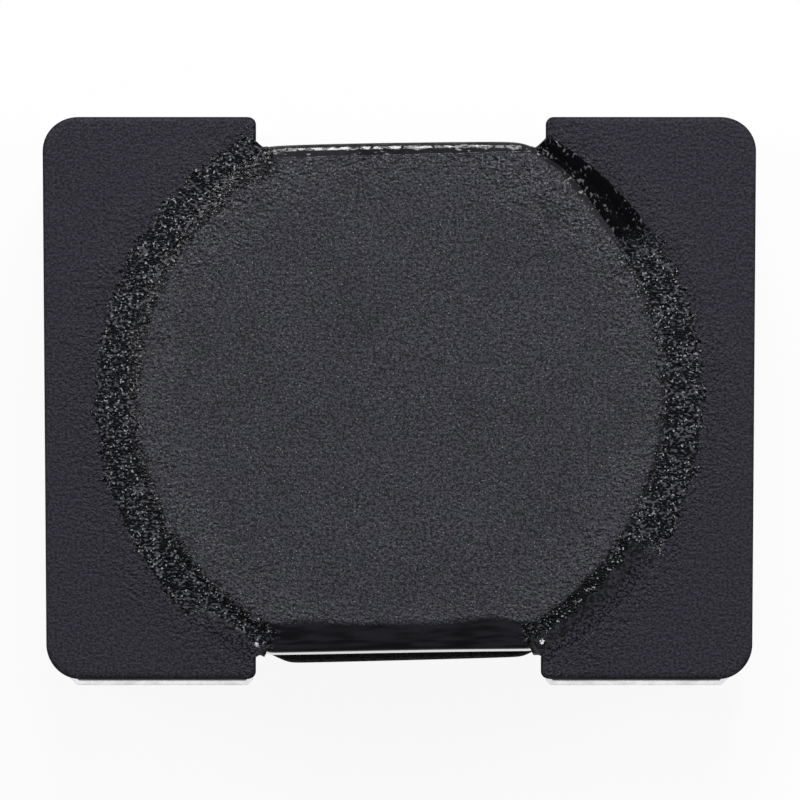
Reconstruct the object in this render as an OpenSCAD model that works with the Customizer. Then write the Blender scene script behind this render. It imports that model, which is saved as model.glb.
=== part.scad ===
// Shielded surface-mount power inductor.
// A wound ferrite drum stands between two C-shaped ferrite shield halves and is
// bonded to them with black epoxy. Each end of the winding runs under its shield
// half into a slotted tinned terminal plate and is soldered there.
// Millimetres. Origin on the board, under the middle of the part; +X along its length.

/* [Shield] */
// Length over both shield halves
body_l = 12.7; // [12.5:0.1:13.2]
// Width of the shield halves
body_w = 10.06; // [9.96:0.02:10.4]
// Height of the shield's top face above the board
shield_top = 5.0; // [4.9:0.05:5.2]
// Radius of the bore round the drum
bore_r = 5.32; // [5.28:0.01:5.4]
// Width of the open gap between the two halves
gap_w = 5.24; // [4.8:0.04:5.6]
// Radius of the outer corners
corner_r = 0.62; // [0.4:0.02:0.9]
// Radius of the corners beside the gap
horn_r = 0.12; // [0.12:0.02:0.2]
// Rounding of the top edges
shield_edge = 0.06; // [0.04:0.01:0.06]

/* [Drum core] */
// Diameter of both flanges
drum_d = 10.16; // [10.1:0.02:10.2]
// Height of the drum's top face above the board
drum_top = 5.05; // [4.95:0.05:5.25]
// Height of the drum's underside above the board
drum_base = 0.4; // [0.35:0.01:0.45]
// Thickness of the top flange
top_flange_t = 0.9; // [0.8:0.05:0.95]
// Thickness of the base flange
base_flange_t = 0.95; // [0.9:0.05:1]
// Distance across the top flange's two flats
top_flats = 8.98; // [8.8:0.02:9.1]
// Distance across the base flange's two flats
base_flats = 9.26; // [9:0.02:9.4]
// Diameter of the centre post
post_d = 4.4; // [4.3:0.1:4.5]
// Rounding of the top flange's upper edge
crown_r = 0.36; // [0.3:0.02:0.4]
// Angle by which the drum sits turned in the bore
drum_turn = 1.5; // [0:0.5:2]

/* [Winding] */
// Diameter of the enamelled wire
wire_d = 0.5; // [0.46:0.01:0.52]
// Air between neighbouring turns and layers
wire_gap = 0.02; // [0.02:0.005:0.03]

/* [Terminals] */
// Thickness of the tinned terminal plates
plate_t = 0.2; // [0.18:0.01:0.22]
// Distance of a plate's inner end from the middle
plate_x = 2.66; // [2.6:0.02:2.8]
// How far a plate stands out past the shield on both sides
plate_lip = 0.08; // [0:0.01:0.1]
// Distance of a lead from the part's centre line
lead_y = 2.47; // [2.4:0.01:2.5]

/* [Hidden] */

$fn = 96;
eps = 0.01;           // how far a cut runs past the face it opens
fit = 0.01;           // gap between pieces that are bonded or soldered together

drum_r = drum_d / 2;
post_r = post_d / 2;
wire_r = wire_d / 2;
base_edge = 0.12;     // rounding of the flanges' other edges
draft = 0.04;         // how far each flange edge swells towards its inner face

window_low = drum_base + base_flange_t;
window_high = drum_top - top_flange_t;
window = window_high - window_low;

// Coil: whole turns between the flanges, an even number of layers, so that both
// ends of the wire come out at the base.
pitch = wire_d + wire_gap;
turns = floor((window - wire_d) / pitch);
first_r = post_r + wire_gap + wire_r;
layers = 2 * floor((drum_r - wire_d - post_r) / (2 * pitch));
last_r = first_r + (layers - 1) * pitch;
coil_low = window_low + (window - turns * pitch) / 2;
coil_high = coil_low + turns * pitch;
turn_step = 15;       // degrees from one ring of the wire's skin to the next
cross_over = 60;      // degrees in which the wire climbs to the next layer
wire_sides = 8;

// Leads: along a slot in the base flange, down a notch in its rim and out along
// the terminal plate.
lead_slot_w = wire_d + 0.12;
rim_notch_w = wire_d + 0.45;
lead_slot_z = window_low - wire_d - 0.05;
lead_run_z = lead_slot_z + wire_r + 0.02;   // middle of the wire in its slot
lead_drop_x = 4.02;
lead_end_x = body_l / 2 - 0.6;
lead_z = wire_r + 0.05;

plate_end = body_l / 2 - 0.1;
plate_w = body_w + 2 * plate_lip;
plate_slot_w = wire_d + 0.2;
plate_slot_end = lead_end_x + 0.1;
channel_w = wire_d + 0.4;
channel_h = 0.45;

resin_top = shield_top - 0.06;
resin_t = 0.6;
resin_half_angle = 63;

function unit(v) = v / norm(v);
function on_circle(r, a, z) = [r * cos(a), r * sin(a), z];
function last_of(list) = list[len(list) - 1];

// Point at t (0 to 1) on a smooth curve from b to c that looks back to a and on to d
function blend_point(a, b, c, d, t) =
    0.5 * (2 * b + (c - a) * t + (2 * a - 5 * b + 4 * c - d) * t * t
           + (3 * b - 3 * c + d - a) * t * t * t);

// Smooth route through a list of points, a few steps for each stretch
function smooth_route(p, steps) = [
    for (i = [0 : len(p) - 2], s = [0 : steps - 1])
        blend_point(p[max(i - 1, 0)], p[i], p[i + 1], p[min(i + 2, len(p) - 1)], s / steps),
    last_of(p)
];

// One layer of the coil: turns up or down, then the climb to the next layer.
// The last layer stops short, where its end can reach the notch on the +X side.
function layer_start(k) = -90 + k * (360 * turns + cross_over);
last_sweep = 360 * turns - layer_start(layers - 1) % 360;
function layer_points(k) = [
    for (a = [turn_step : turn_step : k < layers - 1 ? 360 * turns : last_sweep])
        on_circle(first_r + k * pitch, layer_start(k) + a,
                  k % 2 == 0 ? coil_low + pitch * a / 360 : coil_high - pitch * a / 360),
    if (k < layers - 1)
        for (a = [turn_step : turn_step : cross_over])
            on_circle(first_r + pitch * (k + a / cross_over),
                      layer_start(k) + 360 * turns + a,
                      k % 2 == 0 ? coil_high : coil_low)
];

// The first lead comes in along its slot and rises to the post, tangent to it
lead_in = smooth_route([
    [-lead_end_x, -lead_y, lead_z],
    [-lead_end_x + 0.9, -lead_y, lead_z],
    [-lead_drop_x - 0.45, -lead_y, lead_z],
    [-lead_drop_x - 0.12, -lead_y, lead_z + 0.16],
    [-lead_drop_x + 0.12, -lead_y, lead_run_z - 0.16],
    [-lead_drop_x + 0.45, -lead_y, lead_run_z],
    [-lead_drop_x + 1.6, -lead_y, lead_run_z],
    [-1.4, -first_r, lead_run_z],
    [-0.65, -first_r, coil_low - 0.3],
    [0, -first_r, coil_low]
], 2);

// The last lead leaves the outer layer, drops through its notch and turns out
lead_out = smooth_route([
    on_circle(last_r + 0.02, 7, coil_low + 0.1),
    on_circle(last_r + 0.2, 14, coil_low),
    on_circle(last_r + 0.45, 21, coil_low - 0.05),
    [lead_drop_x + 0.1, lead_y - 0.44, window_low + wire_r + 0.03],
    [lead_drop_x + 0.03, lead_y - 0.13, window_low + 0.13],
    [lead_drop_x, lead_y, window_low - 0.2],
    [lead_drop_x + 0.03, lead_y, lead_z + 0.42],
    [lead_drop_x + 0.2, lead_y, lead_z + 0.1],
    [lead_drop_x + 0.55, lead_y, lead_z],
    [lead_end_x - 0.9, lead_y, lead_z],
    [lead_end_x, lead_y, lead_z]
], 2);

wire_route = concat(lead_in, [for (k = [0 : layers - 1]) each layer_points(k)], lead_out);

// A round skin along a route: each ring keeps the last ring's turn, so the skin never twists
function square_to(u, t) = unit(u - (u * t) * t);
module wire_along(route, r, sides) {
    n = len(route);
    heading = [for (i = [0 : n - 1]) unit(route[min(i + 1, n - 1)] - route[max(i - 1, 0)])];
    side = [for (i = 0, u = square_to([0, 0, 1], heading[0]); i < n;
                 i = i + 1, u = i < n ? square_to(u, heading[i]) : u) u];
    skin = [for (i = [0 : n - 1], j = [0 : sides - 1])
                let (a = 360 * (j + 0.5) / sides)
                route[i] + r * (cos(a) * side[i] + sin(a) * cross(heading[i], side[i]))];
    walls = [for (i = [0 : n - 2], j = [0 : sides - 1])
                 let (k = (j + 1) % sides)
                 [i * sides + j, (i + 1) * sides + j, (i + 1) * sides + k, i * sides + k]];
    first_cap = [for (j = [0 : sides - 1]) j];
    last_cap = [for (j = [sides - 1 : -1 : 0]) (n - 1) * sides + j];
    polyhedron(skin, concat(walls, [first_cap, last_cap]));
}

// Half section of a flange, inner face at height 0: a crown on the outer edge,
// a side that swells towards the inner face, and a broken inner edge
module flange_section(half, t, crown) {
    wide = half + draft;
    polygon([[0, 0], [wide - base_edge / 2, 0], [wide, base_edge], [half, t - crown],
             [half - crown, t], [0, t]]);
    translate([half - crown, t - crown]) circle(crown);
}

// Round flange with two flats along X
module flange(t, flats, crown) {
    intersection() {
        rotate_extrude() flange_section(drum_r, t, crown);
        rotate([90, 0, 90]) linear_extrude(3 * drum_r, center = true)
            for (m = [0, 1]) mirror([m, 0]) flange_section(flats / 2, t, crown);
    }
}

// Slot across the base flange for a lead and the notch in the rim where it drops
module lead_cut() {
    translate([-2 * drum_r, -lead_y - lead_slot_w / 2, lead_slot_z])
        cube([2 * drum_r, lead_slot_w, window_low]);
    rim_notch();
}

module rim_notch() {
    floor_x = lead_drop_x - wire_r - 0.3;
    translate([-floor_x - rim_notch_w / 2, -lead_y, 0]) {
        cylinder(h = window_low + eps, d = rim_notch_w);
        translate([-drum_r, -rim_notch_w / 2, 0])
            cube([drum_r, rim_notch_w, window_low + eps]);
    }
}

module drum_core() {
    fillet = 0.09;
    color("#3b3c42") difference() {
        rotate(drum_turn) {
            translate([0, 0, window_high]) flange(top_flange_t, top_flats, crown_r);
            translate([0, 0, window_low]) mirror([0, 0, 1])
                flange(base_flange_t, base_flats, base_edge);
            // Post with a small fillet at each end
            translate([0, 0, window_low - eps]) rotate_extrude() difference() {
                square([post_r + fillet, window + 2 * eps]);
                translate([post_r, fillet + eps]) square([2 * fillet, window - 2 * fillet]);
                for (z = [fillet + eps, window - fillet + eps])
                    translate([post_r + fillet, z]) circle(fillet);
            }
        }
        lead_cut();
        rotate(180) rim_notch();
    }
}

module winding() {
    color("#a5512a") wire_along(wire_route, wire_r, wire_sides);
}

// Upright section with its upper right corner rounded, from x = low to x = high
module eased_section(low, high, h, e) {
    polygon([[low, 0], [high, 0], [high, h - e], [high - e, h], [low, h]]);
    translate([high - e, h - e]) circle(e);
}

// Shield half on the +X side: a block with rounded corners and eased top edges,
// bored for the drum and channelled underneath for the lead
module shield_half() {
    low_x = gap_w / 2;
    high_x = body_l / 2;
    half_w = body_w / 2;
    mid_x = (low_x + high_x) / 2;
    h = shield_top - plate_t;
    difference() {
        translate([0, 0, plate_t]) {
            for (s = [-1, 1]) {
                translate([high_x - corner_r, s * (half_w - corner_r), 0])
                    rotate_extrude() eased_section(0, corner_r, h, shield_edge);
                translate([low_x + horn_r, s * (half_w - horn_r), 0])
                    rotate_extrude() eased_section(0, horn_r, h, shield_edge);
            }
            translate([low_x + horn_r, 0, 0]) rotate([90, 0, 90])
                linear_extrude(high_x - low_x - horn_r - corner_r)
                    for (m = [0, 1]) mirror([m, 0]) eased_section(0, half_w, h, shield_edge);
            rotate([90, 0, 0]) linear_extrude(body_w - 2 * corner_r, center = true)
                eased_section(mid_x, high_x, h, shield_edge);
            rotate([90, 0, 0]) linear_extrude(body_w - 2 * horn_r, center = true)
                translate([2 * mid_x, 0]) mirror([1, 0])
                    eased_section(mid_x, high_x, h, shield_edge);
        }
        cylinder(h = 2 * shield_top, r = bore_r);
        translate([0, 0, shield_top - shield_edge])
            cylinder(h = 2 * shield_edge, r1 = bore_r, r2 = bore_r + 2 * shield_edge);
        translate([0, lead_y - channel_w / 2, 0])
            cube([lead_end_x + 0.2, channel_w, plate_t + channel_h]);
    }
}

module shield_left() { color("#33323a") rotate(180) shield_half(); }
module shield_right() { color("#33323a") shield_half(); }

// Tinned plate with clipped corners and an open slot for the lead
module terminal_plate() {
    outer_clip = 0.4;
    inner_clip = 0.1;
    half_w = plate_w / 2;
    half = [[plate_x, half_w - inner_clip], [plate_x + inner_clip, half_w],
            [plate_end - outer_clip, half_w], [plate_end, half_w - outer_clip]];
    other_half = [for (i = [3 : -1 : 0]) [half[i][0], -half[i][1]]];
    difference() {
        linear_extrude(plate_t) polygon(concat(half, other_half));
        translate([0, lead_y - plate_slot_w / 2, -eps])
            cube([plate_slot_end - plate_slot_w / 2, plate_slot_w, 1]);
        translate([plate_slot_end - plate_slot_w / 2, lead_y, -eps])
            cylinder(h = 1, d = plate_slot_w);
    }
}

module terminal_left() { color("#b9bcc0") rotate(180) terminal_plate(); }
module terminal_right() { color("#b9bcc0") terminal_plate(); }

// Solder that fills a plate's slot round the lead and rises on both sides of it
module solder_fill() {
    low_x = lead_end_x - 0.85;
    half_w = plate_slot_w / 2 - fit;
    fillet_w = channel_w / 2 - 0.04;
    fillet_h = wire_r;
    translate([0, lead_y, 0]) difference() {
        union() {
            translate([low_x, -half_w, fit])
                cube([plate_slot_end - plate_slot_w / 2 - low_x, 2 * half_w, plate_t]);
            translate([plate_slot_end - plate_slot_w / 2, 0, fit])
                cylinder(h = plate_t, r = half_w);
            translate([low_x, 0, plate_t + fit]) rotate([90, 0, 90])
                linear_extrude(lead_end_x - low_x) difference() {
                    translate([-fillet_w, 0]) square([2 * fillet_w, fillet_h]);
                    for (s = [-1, 1])
                        translate([s * (fillet_w + 0.03), fillet_h + 0.03]) circle(fillet_h);
                }
        }
        translate([low_x - eps, 0, lead_z]) rotate([0, 90, 0])
            cylinder(h = lead_end_x + fit - low_x + eps, r = wire_r + fit);
    }
}

module solder_left() { color("#9da0a4") rotate(180) solder_fill(); }
module solder_right() { color("#9da0a4") solder_fill(); }

// Epoxy in the ring between the top flange and the bore, sunk a little in the middle.
// It ends in line with the flange's flats.
module resin_ring(from_angle, to_angle) {
    inner = drum_r + draft + fit;
    outer = bore_r - fit;
    sink = outer - inner;
    half_w = top_flats / 2 + draft;
    intersection() {
        rotate(from_angle) rotate_extrude(angle = to_angle - from_angle) difference() {
            translate([inner, resin_top - resin_t]) square([outer - inner, resin_t]);
            translate([(inner + outer) / 2, resin_top + 0.7 * sink]) circle(sink);
        }
        rotate(drum_turn) translate([-body_l / 2, -half_w, 0])
            cube([body_l, 2 * half_w, 2 * shield_top]);
    }
}

module top_resin_left() {
    color("#101013") resin_ring(180 - resin_half_angle, 180 + resin_half_angle);
}
module top_resin_right() {
    color("#101013") resin_ring(-resin_half_angle, resin_half_angle);
}

// Two spots of epoxy that hold the base flange in a shield half
module base_spots() {
    inner = drum_r + draft + fit;
    for (a = [-46, -9])
        rotate(a) rotate_extrude(angle = 18)
            translate([inner, drum_base + 0.1]) square([bore_r - fit - inner, 0.7]);
}

module base_resin_left() { color("#17171a") rotate(180) base_spots(); }
module base_resin_right() { color("#17171a") base_spots(); }

drum_core();
winding();
shield_left();
shield_right();
terminal_left();
terminal_right();
solder_left();
solder_right();
top_resin_left();
top_resin_right();
base_resin_left();
base_resin_right();
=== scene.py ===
"""Looks of a shielded surface-mount power inductor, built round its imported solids.

Meshes are worked out in millimetres and scaled to metres when they become objects.
North in a name stands for +Y and south for -Y.
"""

from math import acos, ceil, cos, degrees, hypot, pi, radians, sin, sqrt, tau

import bmesh
import bpy
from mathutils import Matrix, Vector, noise
from mathutils.geometry import delaunay_2d_cdt


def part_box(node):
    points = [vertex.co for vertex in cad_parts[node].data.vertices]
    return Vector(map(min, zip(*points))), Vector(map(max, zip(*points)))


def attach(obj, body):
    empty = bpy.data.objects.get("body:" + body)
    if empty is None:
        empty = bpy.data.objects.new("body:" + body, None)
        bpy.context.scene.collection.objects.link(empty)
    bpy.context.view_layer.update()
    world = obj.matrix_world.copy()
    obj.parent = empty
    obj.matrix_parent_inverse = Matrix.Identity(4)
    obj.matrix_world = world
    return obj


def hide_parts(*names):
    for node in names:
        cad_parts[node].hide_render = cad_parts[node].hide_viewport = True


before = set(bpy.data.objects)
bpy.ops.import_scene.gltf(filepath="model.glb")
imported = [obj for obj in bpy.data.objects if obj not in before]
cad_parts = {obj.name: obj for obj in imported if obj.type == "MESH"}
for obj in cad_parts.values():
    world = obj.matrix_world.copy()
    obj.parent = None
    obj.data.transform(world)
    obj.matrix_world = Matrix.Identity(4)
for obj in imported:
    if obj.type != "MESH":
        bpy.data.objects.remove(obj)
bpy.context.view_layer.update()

MM = 0.001


def box_mm(node):
    """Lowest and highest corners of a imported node, in millimetres."""
    low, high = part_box(node)
    return low / MM, high / MM


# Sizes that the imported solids' boxes give
shield_low, shield_high = box_mm("shield_right")
drum_low, drum_high = box_mm("drum_core")
plate_low, plate_high = box_mm("terminal_right")
GAP_X = shield_low.x            # wall of the open gap between the shield halves
HALF_L = shield_high.x
HALF_W = shield_high.y
SHIELD_BASE = shield_low.z
SHIELD_TOP = shield_high.z
DRUM_BASE = drum_low.z
DRUM_TOP = drum_high.z

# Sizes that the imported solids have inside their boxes
BORE_R = 5.32
CORNER_R = 0.62
DRUM_R = 5.08
BASE_FLAT = 4.63                # from the drum's axis to the base flange's flats
TOP_FLANGE_T = 0.9
BASE_FLANGE_T = 0.95
DRAFT = 0.04                    # how far each flange edge swells towards its inner face
DRUM_TURN = radians(1.5)
POST_R = 2.2
CROWN_R = 0.36                  # breadth of the rounded upper edge
WINDOW_LOW = DRUM_BASE + BASE_FLANGE_T
WINDOW_HIGH = DRUM_TOP - TOP_FLANGE_T
WIRE_R = 0.25
WIRE_GAP = 0.02
LEAD_Y = 2.47
LEAD_Z = WIRE_R + 0.05
LEAD_END_X = HALF_L - 0.6
LEAD_DROP_X = 4.02
LEAD_SLOT_W = 0.62
LEAD_SLOT_Z = WINDOW_LOW - 2 * WIRE_R - 0.05
RIM_NOTCH_W = 0.95
CHANNEL_H = 0.45

# Small departures that only the dressed part has
EDGE_R = 0.09
HORN_R = 0.14                   # rounding of the four ends beside the open gap
SHIELD_TAPER = 0.055            # the shield's walls draw in this much towards the base
SHIELD_SPREAD = 0.008           # each half's end leans out this much per mm of width
TOP_FLAT = 4.52                 # from the top flange's middle to its north flat
SOUTH_FLAT = TOP_FLAT + 0.043   # and to its south flat, which is turned less
SOUTH_TURN = DRUM_TURN - radians(1.1)
FLANGE_OFF_X = -0.05            # the top flange stands a hair off the post's axis
FLANGE_OFF_Y = 0.05
CROWN_DEPTH = 0.20              # fall of the rounded upper edge
FACE_SINK = 0.014               # the uneven face lies this far below the drum's top

# Where the epoxy ends: on the shield's eased edge, and past the bore's two ends
BORE_END = degrees(acos(GAP_X / BORE_R))
RESIN_R = BORE_R + 0.075
RESIN_END = BORE_END + 1.9


# ---------------------------------------------------------------- small maths

def ease(x, start, end):
    """0 before start, 1 after end, and smooth between them; end may be below start."""
    t = min(max((x - start) / (end - start), 0.0), 1.0)
    return t * t * (3 - 2 * t)


def mix(a, b, t):
    return a + (b - a) * t


def ripple(x, y, size, seed, octaves=1):
    """Smooth noise of about -1 to 1, with features of the given size."""
    at = Vector((x / size, y / size, seed))
    if octaves == 1:
        return noise.noise(at)
    return noise.fractal(at, 0.8, 2.0, octaves)


def arc(cx, cy, r, start, end, steps):
    """Points on an arc, its angles in degrees, with both ends."""
    turns = [radians(mix(start, end, i / steps)) for i in range(steps + 1)]
    return [(cx + r * cos(a), cy + r * sin(a)) for a in turns]


def steps_between(low, high, step):
    """Even steps from low to high, both included, none longer than step."""
    count = max(1, ceil((high - low) / step))
    return [mix(low, high, i / count) for i in range(count + 1)]


def quarter(steps):
    """Angles from 0 to a right angle."""
    return [pi / 2 * k / steps for k in range(steps + 1)]


def between(start, end, count):
    """Points on a straight line, without its ends."""
    return [(mix(start[0], end[0], k / count), mix(start[1], end[1], k / count))
            for k in range(1, count)]


def filled_in(outline, step):
    """The same closed outline with a point at least every step."""
    out = []
    for start, end in zip(outline, outline[1:] + outline[:1]):
        count = max(1, ceil(hypot(end[0] - start[0], end[1] - start[1]) / step))
        out += [start] + between(start, end, count)
    return out


def pulled_in(loop, inset):
    """A counter-clockwise outline moved inwards by inset."""
    out = []
    for i, (x, y) in enumerate(loop):
        (px, py), (nx, ny) = loop[i - 1], loop[(i + 1) % len(loop)]
        ax, ay, bx, by = x - px, y - py, nx - x, ny - y
        la, lb = hypot(ax, ay), hypot(bx, by)
        mx, my = -(ay / la + by / lb), ax / la + bx / lb
        spread = (mx * mx + my * my) / 2
        out.append((x + mx * inset / spread, y + my * inset / spread))
    return out


def hexagons(step, limit):
    """A triangular grid of points inside a circle."""
    rise = step * sqrt(3) / 2
    rows = int(limit / rise)
    cols = int(limit / step) + 1
    grid = [((i + 0.5 * (j % 2)) * step, j * rise)
            for j in range(-rows, rows + 1) for i in range(-cols, cols + 1)]
    return [(x, y) for x, y in grid if hypot(x, y) < limit]


def to_side(side, points):
    """Points drawn for the right half (side 1), turned half round for the left (side -1)."""
    if side > 0:
        return points
    return [(-p[0], -p[1], *p[2:]) for p in points]


def side_name(side):
    return "right" if side > 0 else "left"


# ------------------------------------------------------------- mesh builders

def piece(name, points, faces, material, slot, replaces):
    """A closed mesh as a piece of the part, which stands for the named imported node."""
    mesh = bpy.data.meshes.new(name)
    mesh.from_pydata([Vector(p) * MM for p in points], [], faces)
    bm = bmesh.new()
    bm.from_mesh(mesh)
    bmesh.ops.recalc_face_normals(bm, faces=bm.faces)
    bm.to_mesh(mesh)
    bm.free()
    mesh.shade_smooth()
    mesh.materials.append(material)
    obj = bpy.data.objects.new(name, mesh)
    bpy.context.scene.collection.objects.link(obj)
    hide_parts(replaces)
    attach(obj, "root")
    return obj


def triangles(loop, inner_points):
    """Triangles over an outline: the points that it adds, and faces that count from the loop."""
    count = len(loop)
    flat = [Vector(p) for p in list(loop) + list(inner_points)]
    verts, _, faces, origins, _, _ = delaunay_2d_cdt(flat, [], [list(range(count))], 1, 1e-7)
    index, extra = {}, []
    for k, found in enumerate(origins):
        rim = [o for o in found if o < count]
        if rim:
            index[k] = rim[0]
        else:
            index[k] = count + len(extra)
            extra.append((verts[k].x, verts[k].y))
    return extra, [[index[k] for k in face] for face in faces]


def walls(rings):
    """The points of rings that follow each other, and the faces between the rings."""
    count = len(rings[0])
    points = [tuple(p) for ring in rings for p in ring]
    faces = [[k * count + i, k * count + (i + 1) % count,
              (k + 1) * count + (i + 1) % count, (k + 1) * count + i]
             for k in range(len(rings) - 1) for i in range(count)]
    return points, faces


def capped(rings):
    """A closed solid of rings, each end one flat face."""
    points, faces = walls(rings)
    first = list(range(len(rings[0])))
    last = [len(points) - len(first) + i for i in first]
    return points, faces + [first[::-1], last]


def tower(rings, low_points=(), high_points=()):
    """A closed solid of rings of (x, y, z), its two ends filled with triangles."""
    count = len(rings[0])
    points, faces = walls(rings)
    for ring, start, inner in ((rings[0], 0, low_points),
                               (rings[-1], (len(rings) - 1) * count, high_points)):
        extra, cap = triangles([p[:2] for p in ring], inner)
        offset = len(points)
        points += [(x, y, ring[0][2]) for x, y in extra]
        faces += [[start + i if i < count else offset + i - count for i in face]
                  for face in cap]
    return points, faces


def blanket(upper, lower):
    """A closed solid between two grids of points of the same size."""
    rows, cols = len(upper), len(upper[0])
    points = [p for grid in (upper, lower) for row in grid for p in row]
    half = rows * cols
    faces = []
    for r in range(rows - 1):
        for c in range(cols - 1):
            a = r * cols + c
            faces.append([a, a + 1, a + cols + 1, a + cols])
            faces.append([half + a, half + a + cols, half + a + cols + 1, half + a + 1])
    rim = ([c for c in range(cols)]
           + [r * cols + cols - 1 for r in range(1, rows)]
           + [(rows - 1) * cols + c for c in range(cols - 2, -1, -1)]
           + [r * cols for r in range(rows - 2, 0, -1)])
    for i, a in enumerate(rim):
        b = rim[(i + 1) % len(rim)]
        faces.append([b, a, half + a, half + b])
    return points, faces


def tube(route, radius, sides):
    """A round skin along a route; every ring keeps the last ring's turn."""
    last = len(route) - 1
    heading = [(route[min(i + 1, last)] - route[max(i - 1, 0)]).normalized()
               for i in range(last + 1)]
    side = heading[0].orthogonal().normalized()
    rings = []
    for at, ahead in zip(route, heading):
        side = (side - ahead * side.dot(ahead)).normalized()
        across = ahead.cross(side)
        rings.append([at + (side * cos(a) + across * sin(a)) * radius
                      for a in (tau * k / sides for k in range(sides))])
    return capped(rings)


def cut(obj, name, points, faces):
    """Takes a closed shape out of a piece."""
    mesh = bpy.data.meshes.new(name)
    mesh.from_pydata([Vector(p) * MM for p in points], [], faces)
    tool = bpy.data.objects.new(name, mesh)
    bpy.context.scene.collection.objects.link(tool)
    change = obj.modifiers.new("cut", "BOOLEAN")
    change.operation = "DIFFERENCE"
    change.solver = "EXACT"
    change.object = tool
    graph = bpy.context.evaluated_depsgraph_get()
    result = bpy.data.meshes.new_from_object(obj.evaluated_get(graph))
    obj.modifiers.clear()
    obj.data = result
    bpy.data.objects.remove(tool)


def prism(loop, low, high):
    """A straight solid over an outline, between two heights."""
    return capped([[(x, y, z) for x, y in loop] for z in (low, high)])


# ------------------------------------------------------------------ materials

class Value:
    """A shader socket. Arithmetic on it adds the Math nodes that it stands for."""

    def __init__(self, nodes, socket):
        self.nodes = nodes
        self.socket = socket

    def maths(self, operation, *values):
        return self.nodes.node("ShaderNodeMath", {"operation": operation},
                               dict(enumerate(values)))

    def __add__(self, other):
        return self.maths("ADD", self, other)

    def __radd__(self, other):
        return self.maths("ADD", other, self)

    def __sub__(self, other):
        return self.maths("SUBTRACT", self, other)

    def __rsub__(self, other):
        return self.maths("SUBTRACT", other, self)

    def __mul__(self, other):
        return self.maths("MULTIPLY", self, other)

    def __rmul__(self, other):
        return self.maths("MULTIPLY", other, self)

    def __truediv__(self, other):
        return self.maths("DIVIDE", self, other)

    def __rtruediv__(self, other):
        return self.maths("DIVIDE", other, self)

    def __abs__(self):
        return self.maths("ABSOLUTE", self)

    def at_most(self, other):
        return self.maths("MINIMUM", self, other)

    def at_least(self, other):
        return self.maths("MAXIMUM", self, other)

    def ramp(self, start, end):
        """0 at start and 1 at end, smooth between them."""
        return self.nodes.node("ShaderNodeMapRange", {"interpolation_type": "SMOOTHSTEP"},
                               {"Value": self, "From Min": start, "From Max": end})


class Nodes:
    """A node tree, its nodes added by node()."""

    def __init__(self, tree):
        self.tree = tree

    def node(self, kind, settings=None, inputs=None, out=0):
        """Adds a node: its settings first, then its inputs' values or links."""
        made = self.tree.nodes.new(kind)
        for key, value in (settings or {}).items():
            setattr(made, key, value)
        for key, value in (inputs or {}).items():
            self.feed(made.inputs[key], value)
        return Value(self, made.outputs[out])

    def feed(self, socket, value):
        """Links a value to a socket, or sets the socket; a colour may leave out its alpha."""
        if isinstance(value, Value):
            self.tree.links.new(value.socket, socket)
        elif hasattr(socket.default_value, "__len__"):
            socket.default_value = (*value, 1)[:len(socket.default_value)]
        else:
            socket.default_value = value


class Finish(Nodes):
    """One material, its patterns joined to its shader's sockets by name."""

    def __init__(self, name, **constants):
        self.material = bpy.data.materials.new(name)
        self.material.use_nodes = True
        super().__init__(self.material.node_tree)
        self.shader = self.tree.nodes["Principled BSDF"]
        for socket, value in constants.items():
            self.set(socket.replace("_", " "), value)
        self.place = self.node("ShaderNodeTexCoord", out="Object")

    def set(self, socket, value):
        self.feed(self.shader.inputs[socket], value)

    # -- patterns, their sizes in millimetres

    def noise(self, size, detail=2.0, rough=0.5, stretch=(1, 1, 1)):
        """Noise of 0 to 1 with features of the given size."""
        at = self.node("ShaderNodeVectorMath", {"operation": "MULTIPLY"},
                       {0: self.place, 1: stretch})
        return self.node("ShaderNodeTexNoise", {"noise_dimensions": "3D"},
                         {"Vector": at, "Scale": 1 / (size * MM), "Detail": detail,
                          "Roughness": rough})

    def grains(self, size, smooth=0.3):
        """Rounded grains of the given size: 1 in the middle of each, 0 between them."""
        cells = self.node("ShaderNodeTexVoronoi", {"feature": "SMOOTH_F1"},
                          {"Vector": self.place, "Scale": 1 / (size * MM),
                           "Smoothness": smooth})
        return 1 - cells

    def radius(self):
        """Distance from the drum's axis, in millimetres."""
        flat = self.node("ShaderNodeVectorMath", {"operation": "MULTIPLY"},
                         {0: self.place, 1: (1 / MM, 1 / MM, 0)})
        return self.node("ShaderNodeVectorMath", {"operation": "LENGTH"}, {0: flat},
                         out="Value")

    def uneven_radius(self, swing, size, detail=2.0):
        """The same distance, wandering in and out with noise of the given size."""
        return self.radius() + swing * (self.noise(size, detail) - 0.5)

    def axis(self, name):
        """One coordinate, in millimetres."""
        return self.node("ShaderNodeSeparateXYZ", None, {0: self.place}, out=name) / MM

    def blend(self, share, a, b):
        """Colour a where share is 0 and colour b where it is 1."""
        # A Mix node keeps its two colours at inputs 6 and 7, and the result at output 2
        return self.node("ShaderNodeMix", {"data_type": "RGBA"}, {0: share, 6: a, 7: b},
                         out=2)

    def relief(self, height):
        """Bumps the surface by a height in millimetres."""
        self.set("Normal", self.node("ShaderNodeBump", None,
                                     {"Distance": MM, "Height": height}))


SHIELD_COLOUR = (0.0254, 0.0243, 0.0330)


def toned(colour, share):
    """A colour made darker, or lighter where share is over 1."""
    return tuple(c * share for c in colour)


def sunk_corner(f):
    """1 towards +X and +Y, where the epoxy set smooth and low."""
    x, y = f.axis("X"), f.axis("Y")
    return (y - 0.66 * x).ramp(-0.4, 0.4) * x.ramp(1.5, 2.5)


def full_corner(f):
    """1 towards +X and -Y, where the epoxy set smooth and level."""
    x, y = f.axis("X"), f.axis("Y")
    return (0 - y - 0.60 * x).ramp(-0.2, 0.3) * x.ramp(1.5, 2.5)


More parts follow.
